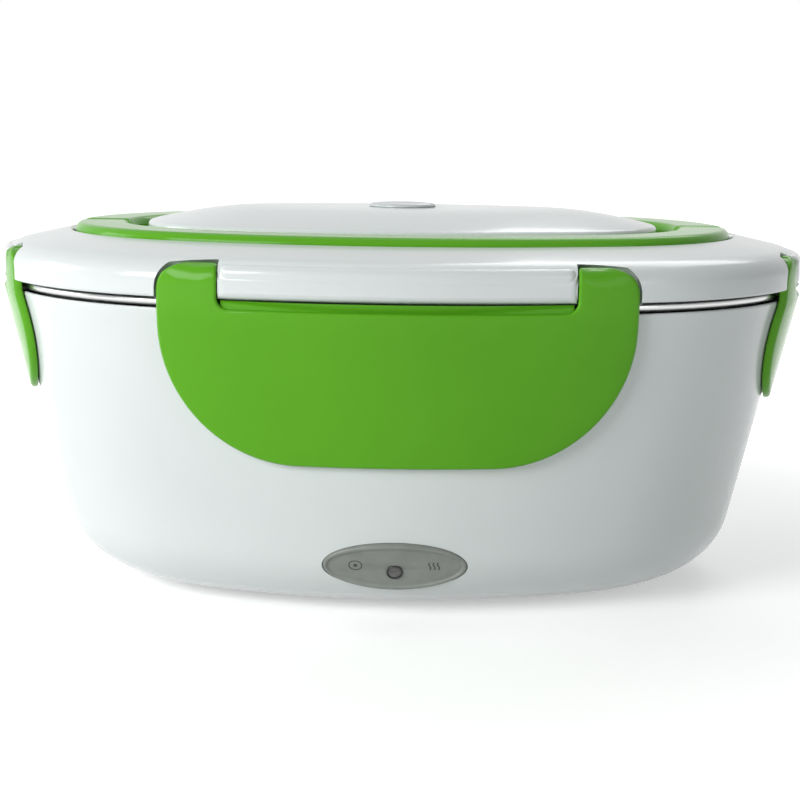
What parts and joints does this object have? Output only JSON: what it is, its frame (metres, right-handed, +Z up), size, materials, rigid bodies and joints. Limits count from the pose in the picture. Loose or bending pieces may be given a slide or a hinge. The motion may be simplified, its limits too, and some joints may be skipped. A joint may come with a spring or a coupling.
{
  "type": "electric lunch box",
  "caption": "Oval electric lunch box: tapered heated base, lift-out steel container, lift-off lid with clip latches, folding ring handle and vent plug.",
  "frame": {"origin": "middle of the rest plane, under the feet", "axes": "+X to the right as seen from the front with the light, +Y to the rear, +Z up"},
  "size_m": [0.231, 0.1734, 0.1078],
  "materials": {
    "shell_white": "glossy",
    "inner_white": "satin",
    "clip_green": "glossy",
    "plug_grey": "glossy",
    "panel_grey": "satin",
    "lens_clear": "glossy",
    "container_steel": "brushed",
    "pin_steel": "satin",
    "plate_alloy": "satin",
    "heater_body": "matte",
    "control_black": "matte",
    "seal_silicone": "matte",
    "foot_rubber": "matte",
    "wire_blue": "matte",
    "board_green": "satin",
    "inlet_black": "satin"
  },
  "bodies": {
    "base": {"base_shell": "shell_white", "bottom_cover": "inner_white", "cover_screws": "pin_steel", "feet": "foot_rubber", "inner_liner": "inner_white", "heating_plate": "plate_alloy", "heater_element": "heater_body", "heater_clamp": "pin_steel", "clamp_screws": "pin_steel", "thermostat": "control_black", "thermal_fuse": "heater_body", "wiring": "wire_blue", "inlet_socket": "inlet_black", "inlet_pins": "pin_steel", "indicator_panel": "panel_grey", "indicator_lens": "lens_clear", "light_board": "board_green"},
    "container": {"steel_container": "container_steel"},
    "lid": {"lid_shell": "shell_white", "lid_inner_plate": "inner_white", "lid_seal": "seal_silicone", "handle_pins": "pin_steel", "latch_pins_front": "pin_steel", "latch_pins_rear": "pin_steel", "latch_pins_left": "pin_steel", "latch_pins_right": "pin_steel"},
    "plug": {"vent_plug": "plug_grey"},
    "clip_front": {"latch_front": "clip_green"},
    "clip_rear": {"latch_rear": "clip_green"},
    "clip_left": {"latch_left": "clip_green"},
    "clip_right": {"latch_right": "clip_green"},
    "grip_front": {"handle_front": "clip_green"},
    "grip_rear": {"handle_rear": "clip_green"}
  },
  "joints": [
    {"name": "lid_lift", "type": "slide", "parent": "base", "child": "lid", "axis": [0, 0, 1], "range_m": [0, 0.16]},
    {"name": "container_lift", "type": "slide", "parent": "base", "child": "container", "axis": [0, 0, 1], "range_m": [0, 0.072]},
    {"name": "plug_pull", "type": "slide", "parent": "lid", "child": "plug", "axis": [0, 0, 1], "range_m": [0, 0.006]},
    {"name": "latch_front_open", "type": "hinge", "parent": "lid", "child": "clip_front", "pos_m": [0, -0.07658, 0.092], "axis": [-1, 0, 0], "range_deg": [0, 100]},
    {"name": "latch_rear_open", "type": "hinge", "parent": "lid", "child": "clip_rear", "pos_m": [0, 0.07658, 0.092], "axis": [1, 0, 0], "range_deg": [0, 100]},
    {"name": "latch_left_open", "type": "hinge", "parent": "lid", "child": "clip_left", "pos_m": [-0.1065, 0, 0.092], "axis": [0, 1, 0], "range_deg": [0, 100]},
    {"name": "latch_right_open", "type": "hinge", "parent": "lid", "child": "clip_right", "pos_m": [0.1065, 0, 0.092], "axis": [0, -1, 0], "range_deg": [0, 100]},
    {"name": "handle_front_fold", "type": "hinge", "parent": "lid", "child": "grip_front", "pos_m": [0, -0.0035, 0.0988], "axis": [-1, 0, 0], "range_deg": [0, 90]},
    {"name": "handle_rear_fold", "type": "hinge", "parent": "lid", "child": "grip_rear", "pos_m": [0, 0.0035, 0.0988], "axis": [1, 0, 0], "range_deg": [0, 90]}
  ],
  "couplings": [
    {"joint": "container_lift", "follows": "lid_lift", "ratio": 0.45},
    {"joint": "latch_front_open", "follows": "lid_lift", "rad_per_m": 10.9},
    {"joint": "latch_rear_open", "follows": "lid_lift", "rad_per_m": 10.9},
    {"joint": "latch_left_open", "follows": "lid_lift", "rad_per_m": 10.9},
    {"joint": "latch_right_open", "follows": "lid_lift", "rad_per_m": 10.9}
  ]
}
